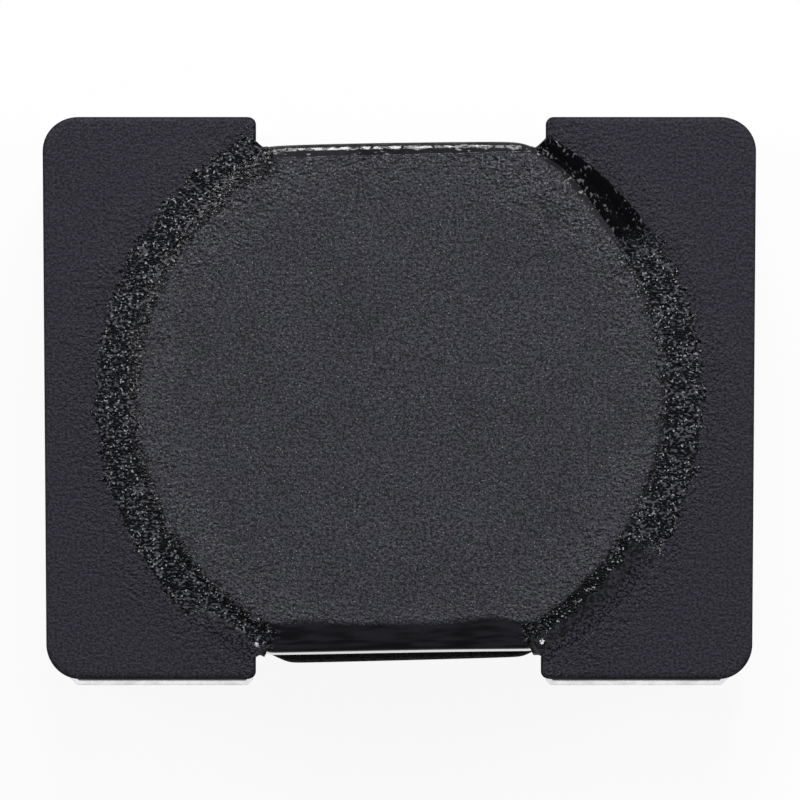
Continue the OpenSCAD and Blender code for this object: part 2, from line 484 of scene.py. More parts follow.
def dusty_corner(f):
    """1 towards -X and -Y, where the epoxy is dusted with ferrite."""
    x, y = f.axis("X"), f.axis("Y")
    return (0 - y + 0.95 * x).ramp(0, 1.2) * (0 - x).ramp(1.5, 2.5)


def crust(f, thin=0.0):
    """Colour of gritty epoxy: grey grains, black gaps between them, and a few white specks as
    painted glints.

    Where thin is 1 the grains are fewer."""
    gap, grain, glint_colour = (0.0008, 0.0009, 0.0016), (0.070, 0.070, 0.082), (0.42, 0.43, 0.45)
    grains = f.noise(0.058, 0.6, 0.5, (0.85, 1.2, 1)) + 0.45 * (f.noise(0.25) - 0.5)
    shade = f.blend((grains - 0.13 * thin).ramp(0.52, 0.68), gap, grain)
    # A few white specks painted in as glints
    return f.blend(0.7 * f.noise(0.038, 0.0).ramp(0.71, 0.78), shade, glint_colour)


def end_glint_spot(f, x, y):
    """1 on a small ragged spot at (x, y), where a highlight is painted."""
    across, along = f.axis("X") - x, f.axis("Y") - y
    away = across * across + along * along
    return (away + 0.012 * (f.noise(0.035) - 0.5)).ramp(0.0018, 0.0010)


def shield_ferrite():
    """Ground ferrite: fine low grain, coarser and half tarred beside the bore; painted shade
    darkens its walls.
    """
    f = Finish("shield_ferrite", IOR=1.36, Specular_IOR_Level=0.2)
    top = f.axis("Z").ramp(SHIELD_TOP - 0.050, SHIELD_TOP - 0.018)
    edge = f.uneven_radius(0.9, 0.9).ramp(BORE_R + 0.98, BORE_R + 0.08) * top
    tar = f.noise(0.12, 3.0, 0.7) * 0.6 + 0.8 * (BORE_R + 0.30 - f.radius())
    tar = tar.ramp(0.42, 0.48) * top
    tar = tar * (1 - full_corner(f)) * (1 - 0.8 * sunk_corner(f)) * (1 - dusty_corner(f))
    shade = f.blend(f.noise(0.045, 0.0).ramp(0.3, 0.7), toned(SHIELD_COLOUR, 0.6),
                    toned(SHIELD_COLOUR, 1.4))
    # The walls are painted darker than the ground top, as painted shade
    shade = f.blend((top + 0.45).at_most(1.0), (0, 0, 0), shade)
    f.set("Base Color", f.blend(tar, shade, crust(f)))
    f.set("Roughness", 0.95 - 0.42 * top - 0.30 * tar - 0.10 * edge)
    grain = f.noise(0.036, 0.0)
    pits = f.noise(0.075, 0.5, 0.5, (1, 1.2, 1))
    f.relief(grain * (0.012 + 0.018 * edge) + pits * (0.010 + 0.034 * edge))
    return f.material


def ferrite_grains(f):
    """1 in the grey grains of bare ferrite and 0 in the dark ones."""
    return (f.noise(0.034, 0.0) * 0.6 + f.noise(0.06, 0.0) * 0.4).ramp(0.38, 0.62)


def face_colour(f, grains, strong):
    """Colour of the drum's face: dark and grey grains, a faint cast and small glints.

    Where strong is 1, pale specks are painted in too, as glints."""
    cast = f.noise(0.45, 1.0).ramp(0.35, 0.65)
    shade = f.blend(grains,
                    f.blend(cast, (0.0110, 0.0118, 0.0140), (0.0125, 0.0113, 0.0148)),
                    f.blend(cast, (0.0560, 0.0600, 0.0720), (0.0600, 0.0560, 0.0740)))
    glints = f.noise(0.030, 0.0).ramp(0.74, 0.80)
    shade = f.blend(0.5 * glints, shade, (0.45, 0.46, 0.48))
    # Pale specks beside the rim: painted glints
    pale = (f.noise(0.042, 0.0) - 0.10 * (1 - strong)).ramp(0.58, 0.70) * strong
    return f.blend(pale, shade, (0.150, 0.155, 0.170))


def crown_streaks_and_painted_light(f, north):
    """Colour of the drum's smooth edge: streaked along it, with painted light that makes it
    palest to the north and painted shade that darkens it to the south.
    """
    dark, pale = (0.0110, 0.0112, 0.0140), (0.0135, 0.0135, 0.0155)
    streaks = f.noise(0.10, 1.0, 0.5, (0.12, 0.12, 2.5)).ramp(0.35, 0.65)
    # Pale to the north and dark to the south: painted light and shade
    return f.blend(streaks, f.blend(north, toned(dark, 0.5), pale),
                   f.blend(north, toned(dark, 1.6), toned(pale, 1.8)))


def drum_tar(f):
    """1 where gritty epoxy lies over the rim of the drum's face, on its round sides."""
    tar = f.noise(0.12, 3.0, 0.7) * 0.6 + 0.9 * (f.radius() - 4.68)
    round_side = (abs(f.axis("X")) - 0.50 * abs(f.axis("Y"))).ramp(-0.05, 0.20)
    upper = f.axis("Z").ramp(DRUM_TOP - 0.25, DRUM_TOP - 0.2)
    return tar.ramp(0.27, 0.32) * round_side * upper * (1 - sunk_corner(f))


def lacquer_pool(f, in_from_flat):
    """1 where lacquer ran and pooled, in a broken line along the north flat."""
    line = in_from_flat.ramp(0.040, 0.055) * in_from_flat.ramp(0.115, 0.100)
    holes = f.noise(0.085, 0.0, 0.5, (0.55, 1.2, 1)).ramp(0.56, 0.52)
    runs = f.noise(0.5, 1.0, 0.5, (1, 0, 0)).ramp(0.38, 0.50)
    return line * holes * runs * abs(f.axis("X") + 0.25).ramp(2.1, 1.7)


def drum_ferrite():
    """Lacquered ferrite: an even grain with small glints, smooth on the crown and sides."""
    f = Finish("drum_ferrite", IOR=1.4, Coat_Roughness=0.06, Specular_IOR_Level=0.3)
    x, y, z = f.axis("X"), f.axis("Y"), f.axis("Z")
    in_from_flat = TOP_FLAT + FLANGE_OFF_Y + sin(DRUM_TURN) * x - y
    face = z.ramp(DRUM_TOP - 0.035, DRUM_TOP - 0.006) * in_from_flat.ramp(0.21, 0.26)
    base = z.ramp(WINDOW_HIGH, WINDOW_LOW)
    wall = z.ramp(DRUM_TOP - CROWN_DEPTH + 0.01, DRUM_TOP - CROWN_DEPTH - 0.03) - base
    grained = face.at_least(base)
    smooth = 1 - grained
    north = y.ramp(1.0, 3.6)
    # The grain is strongest beside the rim, above all to the north, where pale specks are also
    # painted in as glints
    strong = f.uneven_radius(0.8, 0.8).ramp(3.5, 4.7) * (0.6 + 0.4 * north)
    tar = drum_tar(f)

    grains = ferrite_grains(f)
    flange = f.blend(face, crown_streaks_and_painted_light(f, north), face_colour(f, grains, strong))
    # The base flange is bare ferrite, lighter than the lacquered flange, and lightened further
    # as painted light where it lies in shade
    bare = f.blend(grains, (0.044, 0.049, 0.060), (0.080, 0.087, 0.104))
    f.set("Base Color", f.blend(tar, f.blend(base, flange, bare), crust(f)))
    f.set("Roughness", 0.52 - (0.10 + 0.24 * north) * smooth - 0.10 * wall
          - 0.20 * tar * grained + 0.4 * base)
    f.set("Coat Weight", wall + 0.75 * lacquer_pool(f, in_from_flat))

    grain = f.noise(0.034, 0.0)
    lumps = f.noise(0.07, 0.5, 0.5, (1, 1.15, 1))
    burrs = f.noise(0.10, 1.0) * wall * north
    dents = f.noise(0.085, 0.0, 0.5, (0.6, 1.2, 1)) * north * smooth
    dents *= f.noise(0.5, 1.0, 0.5, (1, 0, 0)).ramp(0.60, 0.45)
    f.relief((grain * (0.010 + 0.022 * strong) + lumps * (0.006 + 0.060 * strong))
             * grained * (1 - 0.6 * tar) + grain * 0.016 * tar
             + lumps * 0.008 * smooth + burrs * 0.05 + dents * 0.020)
    return f.material


def black_epoxy():
    """Cured epoxy: glossy black, gritty where it was dabbed on, dusty where it is full, with a
    few painted glints.
    """
    f = Finish("black_epoxy", IOR=1.5, Specular_IOR_Level=0.2,
               Specular_Tint=(0.88, 0.92, 1.0))
    out = f.uneven_radius(0.35, 0.14, 1.0) - DRUM_R
    calm, level, dusted = sunk_corner(f), full_corner(f), dusty_corner(f)
    dusty = level * out.ramp(-0.18, -0.15) + dusted * out.ramp(-0.04, 0.08)
    grainy = dusty * (out.ramp(0.07, 0.11) + dusted).at_most(1.0)
    rough = (1 - calm) * (1 - dusty)

    # Light-grey flecks on small bumps in the smooth black: partly real relief, partly painted
    # glints
    glint_flecks = f.noise(0.055, 0.0, 0.5, (1, 0.7, 1)).ramp(0.60, 0.74)
    glint_flecks *= f.noise(0.45, 1.0).ramp(0.40, 0.54)
    clear = f.blend(glint_flecks, (0.0022, 0.0022, 0.0028), (0.10, 0.10, 0.11))
    grey_dust = f.blend(f.noise(0.06, 1.0).ramp(0.40, 0.64), (0.003, 0.003, 0.004),
                        (0.026, 0.0255, 0.030))
    shade = f.blend(dusty, f.blend(calm, crust(f, level), clear), grey_dust)
    # Painted highlights: a pale spot at each south end of the fill
    end_glints = end_glint_spot(f, 2.56, -4.36) + end_glint_spot(f, -2.55, -4.42)
    shade = f.blend(end_glints.at_most(1.0), shade, (0.8, 0.8, 0.82))
    ferrite_dust = f.blend(f.noise(0.045, 0.5).ramp(0.40, 0.60), toned(SHIELD_COLOUR, 0.1),
                           toned(SHIELD_COLOUR, 1.4))
    f.set("Base Color", f.blend(grainy, shade, ferrite_dust))

    film = f.noise(0.5, 3.0)
    f.set("Roughness", 0.10 + 0.08 * film + 0.22 * rough + 0.30 * dusty + 0.30 * grainy)
    grit = f.noise(0.040, 0.0, 0.5, (0.85, 1.2, 1))
    lumps = f.noise(0.075, 0.5, 0.5, (1, 1.2, 1))
    f.relief(grit * (0.001 + 0.010 * rough + 0.002 * dusty + 0.026 * grainy)
             + lumps * (0.010 * dusty + 0.035 * grainy) + film * 0.01
             + glint_flecks * calm * 0.016)
    return f.material


def tin_plating():
    """Matt tin, cloudy and finely crystalline."""
    f = Finish("tin_plating", Metallic=0.95, IOR=1.8)
    clouds = f.noise(0.35, 4.0, 0.65)
    crystals = f.grains(0.06)
    f.set("Base Color", f.blend(clouds.ramp(0.30, 0.60), (0.74, 0.74, 0.74),
                                (0.96, 0.96, 0.97)))
    f.set("Roughness", 0.26 + 0.14 * clouds)
    f.relief(crystals * 0.002 + f.noise(0.12, 3.0) * 0.006)
    return f.material


def bright_solder():
    """Bright solder with a little frosting."""
    f = Finish("bright_solder", Metallic=1.0)
    frost = f.noise(0.10, 4.0, 0.6)
    f.set("Base Color", f.blend(frost, (0.52, 0.52, 0.51), (0.76, 0.76, 0.75)))
    f.set("Roughness", 0.16 + 0.22 * frost)
    f.relief(frost * 0.006)
    return f.material


def enamelled_copper():
    """Copper under clear amber enamel, with faint draw marks and dull patches."""
    f = Finish("enamelled_copper", Metallic=0.9, Coat_Roughness=0.12, Coat_IOR=1.55)
    patches = f.noise(0.9, 3.0, 0.6)
    marks = f.noise(0.05, 2.0, 0.6)
    f.set("Base Color", f.blend(patches.ramp(0.3, 0.7), (0.50, 0.150, 0.050),
                                (0.72, 0.270, 0.100)))
    f.set("Roughness", 0.26 + 0.14 * marks)
    f.set("Coat Weight", 0.75 + 0.25 * patches)
    f.relief(marks * 0.0012)
    return f.material


# --------------------------------------------------------------------- pieces

def reach(angle, flat, soft=0.04, turn=DRUM_TURN, full=DRUM_R):
    """Distance from the axis to the rim of a flange with two flats along X.

    soft is how gently a flat runs out into the round rim."""
    straight = flat / max(abs(sin(angle - turn)), 0.3)
    return (full + straight - hypot(full - straight, soft)) / 2


def base_reach(angle):
    """The same for the base flange."""
    return reach(angle, BASE_FLAT)


def top_reach(angle):
    """The same for the top flange, whose flats aren't quite parallel."""
    if sin(angle) > 0:
        rim = reach(angle, TOP_FLAT, soft=0.10)
    else:
        full = DRUM_R + 0.06 * ease(-sin(angle), 0.78, 0.87)
        rim = reach(angle, SOUTH_FLAT, 0.02, SOUTH_TURN, full)
    return rim + FLANGE_OFF_X * cos(angle) + FLANGE_OFF_Y * sin(angle)


def crown_width(angle):
    """Breadth of the drum's rounded upper edge, which is widest on the south side."""
    south = ease(-sin(angle), 0.84, 0.90)
    wave = 0.05 * ripple(4.4 * cos(angle), 0, 0.5, 2.7)
    return (CROWN_R + south * (0.15 + wave + 0.14 * ease(abs(cos(angle)), 0.15, 0.42))
            - 0.10 * ease(sin(angle), 0.75, 0.9))


def crown_drop(angle, share):
    """Fall of the crown at a share of its breadth from the rim.

    To the north it is nearly flat, then a narrow bevel, then a steep edge."""
    north = ease(sin(angle), 0.55, 0.85)
    bevel, edge = 0.115, 0.045
    to_rim = crown_width(angle) * share
    bevelled = (0.05 * (crown_width(angle) - to_rim) + 0.31 * max(bevel - to_rim, 0)
                + 0.75 * max(edge - to_rim, 0))
    return mix(CROWN_DEPTH * (1 - share) ** 1.4, bevelled, north)


def drum_relief(x, y):
    """Unevenness of the drum's face: stronger beside its rim, above all to the north."""
    r = hypot(x, y)
    rim = ease(r, 3.6, 4.5)
    north = ease(y, 0.5, 3.5)
    swell = 0.003 * ripple(x, y, 1.6, 3.1, 2)
    pebbles = ripple(x, y, 0.15, 7.7, 2)
    return swell - FACE_SINK + pebbles * (0.003 + 0.009 * rim * (0.35 + 0.65 * north))


def drum_mesh():
    """The whole drum as one solid of rings: base flange, post, top flange and face."""
    base_edge, inner_edge, fillet = 0.12, 0.08, 0.09
    columns = 720
    angles = [tau * k / columns for k in range(columns)]

    def ring(reaches, heights):
        return [(r * cos(a), r * sin(a), z) for a, r, z in zip(angles, reaches, heights)]

    def level(reach_at, inset, z):
        """A level ring, inset from the reach at each angle."""
        return ring([reach_at(a) - inset for a in angles], [z] * columns)

    def circle(r, z):
        return ring([r] * columns, [z] * columns)

    def crown(share):
        """A ring on the rounded upper edge: share 0 is at the rim and 1 at the face."""
        return ring([top_reach(a) - share * crown_width(a) for a in angles],
                    [DRUM_TOP - FACE_SINK - crown_drop(a, share) for a in angles])

    def face(inset):
        """A ring on the uneven face, inset from the crown."""
        flat = ring([top_reach(a) - (inset + crown_width(a)) for a in angles],
                    [DRUM_TOP] * columns)
        return [(x, y, z + drum_relief(x, y)) for x, y, z in flat]

    rings = [level(base_reach, base_edge * (1 - sin(t)), DRUM_BASE + base_edge * (1 - cos(t)))
             for t in quarter(5)]
    rings += [level(base_reach, -DRAFT * k / 4,
                    mix(DRUM_BASE + base_edge, WINDOW_LOW - 0.1, k / 4)) for k in range(1, 5)]
    rings += [level(base_reach, inner_edge * (1 - cos(t)) - DRAFT,
                    WINDOW_LOW - inner_edge * (1 - sin(t))) for t in quarter(4)]
    rings += [circle(POST_R + fillet * (1 - sin(t)), WINDOW_LOW + fillet * (1 - cos(t)))
              for t in quarter(4)]
    rings += [circle(POST_R + fillet * (1 - cos(t)), WINDOW_HIGH - fillet * (1 - sin(t)))
              for t in quarter(4)]
    rings += [level(top_reach, inner_edge * (1 - sin(t)) - DRAFT,
                    WINDOW_HIGH + inner_edge * (1 - cos(t))) for t in quarter(4)]
    rings += [level(top_reach, -DRAFT * (1 - k / 6),
                    mix(WINDOW_HIGH + 0.1, DRUM_TOP - CROWN_DEPTH, k / 6))
              for k in range(1, 6)]
    rings += [crown(k / 14) for k in range(15)]
    rings += [face(0.05 * k) for k in range(1, 24)]
    return tower(rings, low_points=hexagons(0.5, 4.3), high_points=hexagons(0.16, 3.2))


def drum_core():
    """The ferrite bobbin, its base flange notched and slotted for the two leads."""
    points, faces = drum_mesh()
    # The middle of the face is still level: it gets the same unevenness as its rings
    near_top = max(z for _, _, z in points) - 0.06
    points = [(x, y, DRUM_TOP + drum_relief(x, y)) if z > near_top and hypot(x, y) < 3.4
              else (x, y, z) for x, y, z in points]
    obj = piece("drum", points, faces, drum_ferrite(), "drum_ferrite", "drum_core")
    clear_x, clear_z = HALF_L, WINDOW_LOW + 0.03
    half = RIM_NOTCH_W / 2
    notch = (arc(LEAD_DROP_X - WIRE_R - 0.3 + half, LEAD_Y, half, 90, 270, 24)
             + [(clear_x, LEAD_Y - half), (clear_x, LEAD_Y + half)])
    half = LEAD_SLOT_W / 2
    slot = [(-clear_x, -LEAD_Y - half), (0, -LEAD_Y - half), (0, -LEAD_Y + half),
            (-clear_x, -LEAD_Y + half)]
    for side in (1, -1):
        cut(obj, "rim_notch", *prism(to_side(side, notch), 0, clear_z))
    cut(obj, "lead_slot", *prism(slot, LEAD_SLOT_Z, clear_z))
    return obj


def shield_outline():
    """Counter-clockwise outline of the shield half on the +X side."""
    horn = (GAP_X + HORN_R, HALF_W - HORN_R)
    corner = (HALF_L - CORNER_R, HALF_W - CORNER_R)
    bore = arc(0, 0, BORE_R, BORE_END, -BORE_END, 240)
    return (bore
            + between(bore[-1], (GAP_X, -horn[1]), 4)
            + arc(horn[0], -horn[1], HORN_R, 180, 270, 8)
            + between((horn[0], -HALF_W), (corner[0], -HALF_W), 24)
            + arc(corner[0], -corner[1], CORNER_R, 270, 360, 24)
            + between((HALF_L, -corner[1]), (HALF_L, corner[1]), 60)
            + arc(corner[0], corner[1], CORNER_R, 0, 90, 24)
            + between((corner[0], HALF_W), (horn[0], HALF_W), 24)
            + arc(horn[0], horn[1], HORN_R, 90, 180, 8)
            + between((GAP_X, horn[1]), bore[0], 4))


def shield_face_points():
    """Points over the top face: close together beside the bore, wide apart elsewhere."""
    clear = EDGE_R + 0.05

    def inside(x, y, margin):
        if x < GAP_X + margin or x > HALF_L - margin or abs(y) > HALF_W - margin:
            return False
        dx, dy = x - (HALF_L - CORNER_R), abs(y) - (HALF_W - CORNER_R)
        return not (dx > 0 and dy > 0 and hypot(dx, dy) > CORNER_R - margin)

    points = []
    band, sweep = 0.75, radians(75)
    fine, coarse = 0.045, 0.14
    for row, r in enumerate(steps_between(BORE_R + clear, BORE_R + band, fine)):
        for k in range(int(2 * sweep * r / fine)):
            a = (k + 0.5 * (row % 2)) * fine / r - sweep
            x, y = r * cos(a), r * sin(a)
            if inside(x, y, clear):
                points.append((x, y))
    for x, y in hexagons(coarse, HALF_L + HALF_W):
        if hypot(x, y) > BORE_R + band + 0.08 and inside(x, y, coarse):
            points.append((x, y))
    return points


def shield_relief(x, y):
    """Unevenness of a shield's face: flat outside, pebbled where epoxy grit spreads."""
    near = ease(hypot(x, y) + 0.25 * ripple(x, y, 0.7, 5.2), 6.1, 5.4)
    return (0.004 * ripple(x, y, 1.4, 1.3, 2) - 0.006
            + near * 0.013 * ripple(x, y, 0.14, 8.8, 2))


def horn_growth(side, y):
    """How far a half's horns stand out into the gap, which isn't quite even."""
    return 0.055 if side < 0 else 0.09 * ease(-y, 4.0, 4.5)


def shield(side, material):
    """One shield half, with eased edges and a channel underneath for the lead."""
    outline = shield_outline()
    lower = 0.05
    section = [(SHIELD_TAPER + lower * (1 - sin(t)), SHIELD_BASE + lower * (1 - cos(t)))
               for t in quarter(4)]
    heights = steps_between(SHIELD_BASE + lower, SHIELD_TOP - EDGE_R, 0.5)
    section += [(SHIELD_TAPER * (1 - k / (len(heights) - 1)), z)
                for k, z in enumerate(heights)][1:]
    section += [(EDGE_R * (1 - cos(t)), SHIELD_TOP - EDGE_R * (1 - sin(t)))
                for t in quarter(6)[1:]]
    rings = [[(x, y, z) for x, y in pulled_in(outline, inset)] for inset, z in section]
    points, faces = tower(rings, high_points=shield_face_points())
    top = SHIELD_TOP - EDGE_R
    points = [(x + SHIELD_SPREAD * side * y * ease(x, BORE_R, HALF_L)
               - horn_growth(side, side * y) * ease(x, GAP_X + 0.35, GAP_X),
               y, z + shield_relief(side * x, side * y) * ease(z, top, SHIELD_TOP))
              for x, y, z in points]
    name = side_name(side)
    obj = piece(f"shield_half_{name}", to_side(side, points), faces, material,
                "shield_ferrite", f"shield_{name}")
    half, end = WIRE_R + 0.2, LEAD_END_X + 0.2
    channel = [(0, LEAD_Y - half), (end, LEAD_Y - half), (end, LEAD_Y + half),
               (0, LEAD_Y + half)]
    cut(obj, "channel", *prism(to_side(side, channel), -1, SHIELD_BASE + CHANNEL_H))
    return obj


def grit_lumps(x, y):
    """Rounded lumps with sharp crevices between them, about 0 on average."""
    fine = abs(ripple(x * 0.9, y * 1.15, 0.085, 6.1)) + 0.5 * abs(ripple(x, y, 0.045, 4.3))
    return 0.075 * (fine - 0.28) + 0.030 * ripple(x, y, 0.22, 2.2)


def tip_facet(x, y):
    """Small slopes that face north on the epoxy beside each end of a shield half."""
    if y > 0:
        beside = ease(abs(x), 2.54, 2.57) * ease(abs(x), 2.70, 2.67)
        return -beside * 0.38 * min(max(y - 4.38, 0), 0.11)
    beside = ease(abs(x), 2.49, 2.52) * ease(abs(x), 2.61, 2.58)
    return beside * 0.38 * min(max(-4.28 - y, 0), 0.09)


def resin_height(angle, r, over, side):
    """Height of the epoxy at an angle in degrees from its half's own middle.

    over is the distance outside the top flange's rim."""
    x, y = side * r * cos(radians(angle)), side * r * sin(radians(angle))
    out = r - DRUM_R
    # The right half's epoxy set smooth and sunk above, smooth and full below
    calm = ease(angle, 25, 36) if side > 0 else 0.0
    level = ease(angle, -27, -35) if side > 0 else 0.0
    rough = (1 - calm) * (1 - level)
    wall = ease(out, 0.02, 0.22)
    gritty = DRUM_TOP + 0.012 - 0.060 * ease(over, -0.32, 0.02) + 0.030 * wall
    # The sunk part climbs from the ring onto the crown, and further up it away from its end
    edge = max(4.96 + 0.007 * (angle - 59.5), 4.82)
    climb = DRUM_TOP - 0.012 - 0.32 * (r - edge) - 0.10 * ease(edge - r, 0.0, 0.02)
    beside_wall = ease(out, -0.02, 0.06)
    sunk = mix(climb, DRUM_TOP - 0.11 + 0.06 * wall, beside_wall)
    full = DRUM_TOP + 0.004 - 0.044 * ease(out, -0.22, -0.14) + 0.014 * ease(out, 0.09, 0.12)
    height = rough * gritty + calm * sunk + level * (1 - calm) * full
    crack = level * ease(out, -0.12, -0.20)
    height += grit_lumps(x, y) * (rough + crack + 0.10 * level * (1 - crack)
                                  + 0.14 * calm * beside_wall)
    height += 0.008 * (1 - calm) * ripple(x, y, 0.6, 9.4) + tip_facet(x, y)
    # Both ends fall away, and the inner edge dips under the drum's face
    height -= 0.16 * ease(abs(angle), 60.9, 62.2)
    height -= 0.06 * ease(over, -0.35, -0.42)
    return min(mix(height, SHIELD_TOP - 0.010, ease(r, BORE_R, RESIN_R)),
               SHIELD_TOP - 0.004)


def resin_points(angle, share, side):
    """Upper and lower point of the epoxy at a share of the way out from the drum's crown."""
    a = radians(angle + (0 if side > 0 else 180))
    rim = top_reach(a)
    # Past the bore's ends the epoxy draws in, to stand flush with the drum
    flush = rim + 0.012
    if sin(a) < 0:
        flush = max(rim + 0.07, min(RESIN_R, (TOP_FLAT + 0.04) / abs(sin(a))))
    past = min(max((abs(angle) - BORE_END) / 1.3, 0), 1)
    r = mix(rim - 0.45, mix(RESIN_R, flush, 1 - (1 - past) ** 2), share)
    z = resin_height(angle, r, r - rim, side)
    deep = max(ease(r - rim, 0.04, 0.08) * ease(r, BORE_R, BORE_R - 0.03), past)
    flare = r + 0.04 * past * share
    return ((r * cos(a), r * sin(a), z),
            (flare * cos(a), flare * sin(a), z - 0.05 - 0.75 * deep))


def resin(side, material):
    """Epoxy in the ring between the drum and one shield half, with a fillet at each end."""
    columns, rows = steps_between(-RESIN_END, RESIN_END, 0.18), 42
    pairs = [[resin_points(angle, k / rows, side) for angle in columns]
             for k in range(rows + 1)]
    upper, lower = [[[pair[i] for pair in row] for row in pairs] for i in (0, 1)]
    name = side_name(side)
    return piece(f"groove_epoxy_{name}", *blanket(upper, lower), material, "black_epoxy",
                 f"top_resin_{name}")


def smooth_route(stops, steps):
    """A smooth curve through the stops, a few steps for each stretch."""
    stops = [Vector(s) for s in stops]
    out = []
    for i in range(len(stops) - 1):
        a, b, c, d = (stops[max(i - 1, 0)], stops[i], stops[i + 1],
                      stops[min(i + 2, len(stops) - 1)])
        for k in range(steps):
            t = k / steps
            out.append(0.5 * (2 * b + (c - a) * t + (2 * a - 5 * b + 4 * c - d) * t * t
                              + (3 * b - 3 * c + d - a) * t ** 3))
    return out + [stops[-1]]


def winding():
    """One wire in even layers round the post, with both leads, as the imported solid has."""
    pitch, turns, layers = 2 * WIRE_R + WIRE_GAP, 4, 4
    climb, step = 60, 5         # degrees
    first_r = POST_R + WIRE_GAP + WIRE_R
    last_r = first_r + (layers - 1) * pitch
    low = WINDOW_LOW + (WINDOW_HIGH - WINDOW_LOW - turns * pitch) / 2
    high = low + turns * pitch
    run_z = LEAD_SLOT_Z + WIRE_R + 0.02

    def polar(r, angle, z):
        return r * cos(radians(angle)), r * sin(radians(angle)), z

    route = smooth_route([
        (-LEAD_END_X, -LEAD_Y, LEAD_Z), (-LEAD_END_X + 0.9, -LEAD_Y, LEAD_Z),
        (-LEAD_DROP_X - 0.45, -LEAD_Y, LEAD_Z), (-LEAD_DROP_X - 0.12, -LEAD_Y, LEAD_Z + 0.16),
        (-LEAD_DROP_X + 0.12, -LEAD_Y, run_z - 0.16), (-LEAD_DROP_X + 0.45, -LEAD_Y, run_z),
        (-LEAD_DROP_X + 1.6, -LEAD_Y, run_z), (-1.4, -first_r, run_z),
        (-0.65, -first_r, low - 0.3), (0, -first_r, low)], 6)
    for layer in range(layers):
        start = -90 + layer * (360 * turns + climb)
        rising = layer % 2 == 0
        sweep = 360 * turns - (start % 360 if layer == layers - 1 else 0)
        for a in range(step, sweep + 1, step):
            z = low + pitch * a / 360 if rising else high - pitch * a / 360
            route.append(Vector(polar(first_r + layer * pitch, start + a, z)))
        if layer < layers - 1:
            for a in range(step, climb + 1, step):
                route.append(Vector(polar(first_r + pitch * (layer + a / climb),
                                          start + 360 * turns + a, high if rising else low)))
    route += smooth_route([
        polar(last_r + 0.02, 7, low + 0.1), polar(last_r + 0.2, 14, low),
        polar(last_r + 0.45, 21, low - 0.05),
        (LEAD_DROP_X + 0.1, LEAD_Y - 0.44, WINDOW_LOW + WIRE_R + 0.03),
        (LEAD_DROP_X + 0.03, LEAD_Y - 0.13, WINDOW_LOW + 0.13),
        (LEAD_DROP_X, LEAD_Y, WINDOW_LOW - 0.2), (LEAD_DROP_X + 0.03, LEAD_Y, LEAD_Z + 0.42),
        (LEAD_DROP_X + 0.2, LEAD_Y, LEAD_Z + 0.1), (LEAD_DROP_X + 0.55, LEAD_Y, LEAD_Z),
        (LEAD_END_X - 0.9, LEAD_Y, LEAD_Z), (LEAD_END_X, LEAD_Y, LEAD_Z)], 6)
    return piece("copper_winding", *tube(route, WIRE_R - 0.004, 16), enamelled_copper(),
                 "enamelled_copper", "winding")


def terminal(side, material):
    """Plate with clipped corners and an open slot, its sheared edge sloped by the tin."""
    outer_clip, inner_clip = 0.4, 0.1
    slot_half = WIRE_R + 0.1
    slot_end = LEAD_END_X + 0.1
    low_x, high_x, half_w = plate_low.x, plate_high.x, plate_high.y
    outline = ([(low_x, half_w - inner_clip), (low_x, LEAD_Y + slot_half)]
               + arc(slot_end - slot_half, LEAD_Y, slot_half, 90, -90, 16)
               + [(low_x, LEAD_Y - slot_half), (low_x, -half_w + inner_clip),
                  (low_x + inner_clip, -half_w), (high_x - outer_clip, -half_w),
                  (high_x, -half_w + outer_clip), (high_x, half_w - outer_clip),
                  (high_x - outer_clip, half_w), (low_x + inner_clip, half_w)])
    # Insets and heights up the edge, from the plate's underside to its top
    section = [(0.012, 0), (0.003, 0.004), (0, 0.02), (0.028, 0.09), (0.068, 0.17),
               (0.078, 0.188), (0.09, 0.2)]
    outline = filled_in(outline, 0.4)
    rings = [[(x, y, z) for x, y in pulled_in(outline, inset)] for inset, z in section]
    points, faces = tower(rings)
    name = side_name(side)
    return piece(f"tin_plate_{name}", to_side(side, points), faces, material,
                 "tinned_plate", f"terminal_{name}")


def solder(side, material):
    """Solder drawn round the end of a lead inside its slot."""
    slot_half, half_h = WIRE_R + 0.09, 0.285
    start, end = LEAD_END_X - 0.85, LEAD_END_X + 0.09
    stations, around = 28, 32

    def section(a):
        """The solder's section: round above, and squarer below, where it fills the slot."""
        if sin(a) >= 0:
            return cos(a), sin(a)
        return (1 if cos(a) > 0 else -1) * abs(cos(a)) ** 0.6, -abs(sin(a)) ** 0.8

    rings = []
    for k in range(stations + 1):
        x = mix(start, end, 0.5 - 0.5 * cos(pi * k / stations))
        wetted = ease(x, start, start + 0.35)
        past = max(x - (end - slot_half), 0) / slot_half
        wide = slot_half * mix(0.78, 1, wetted) * sqrt(max(1 - past * past, 0.0004))
        high = half_h * mix(0.80, 1, wetted) * mix(1, 0.45, past ** 3)
        outline = [section(tau * i / around) for i in range(around)]
        rings.append([(x, LEAD_Y + wide * y, max(LEAD_Z + high * z, 0.006))
                      for y, z in outline])
    points, faces = capped(rings)
    name = side_name(side)
    return piece(f"lead_solder_{name}", to_side(side, points), faces, material, "solder",
                 f"solder_{name}")


def build_part():
    """Every piece of the part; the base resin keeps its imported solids."""
    epoxy = black_epoxy()
    ferrite = shield_ferrite()
    tin = tin_plating()
    joint = bright_solder()
    drum_core()
    winding()
    for side in (-1, 1):
        shield(side, ferrite)
        resin(side, epoxy)
        terminal(side, tin)
        solder(side, joint)
    for name in ("base_resin_left", "base_resin_right"):
        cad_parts[name].material_slots[0].material = epoxy


# ---------------------------------------------------------------------- stage

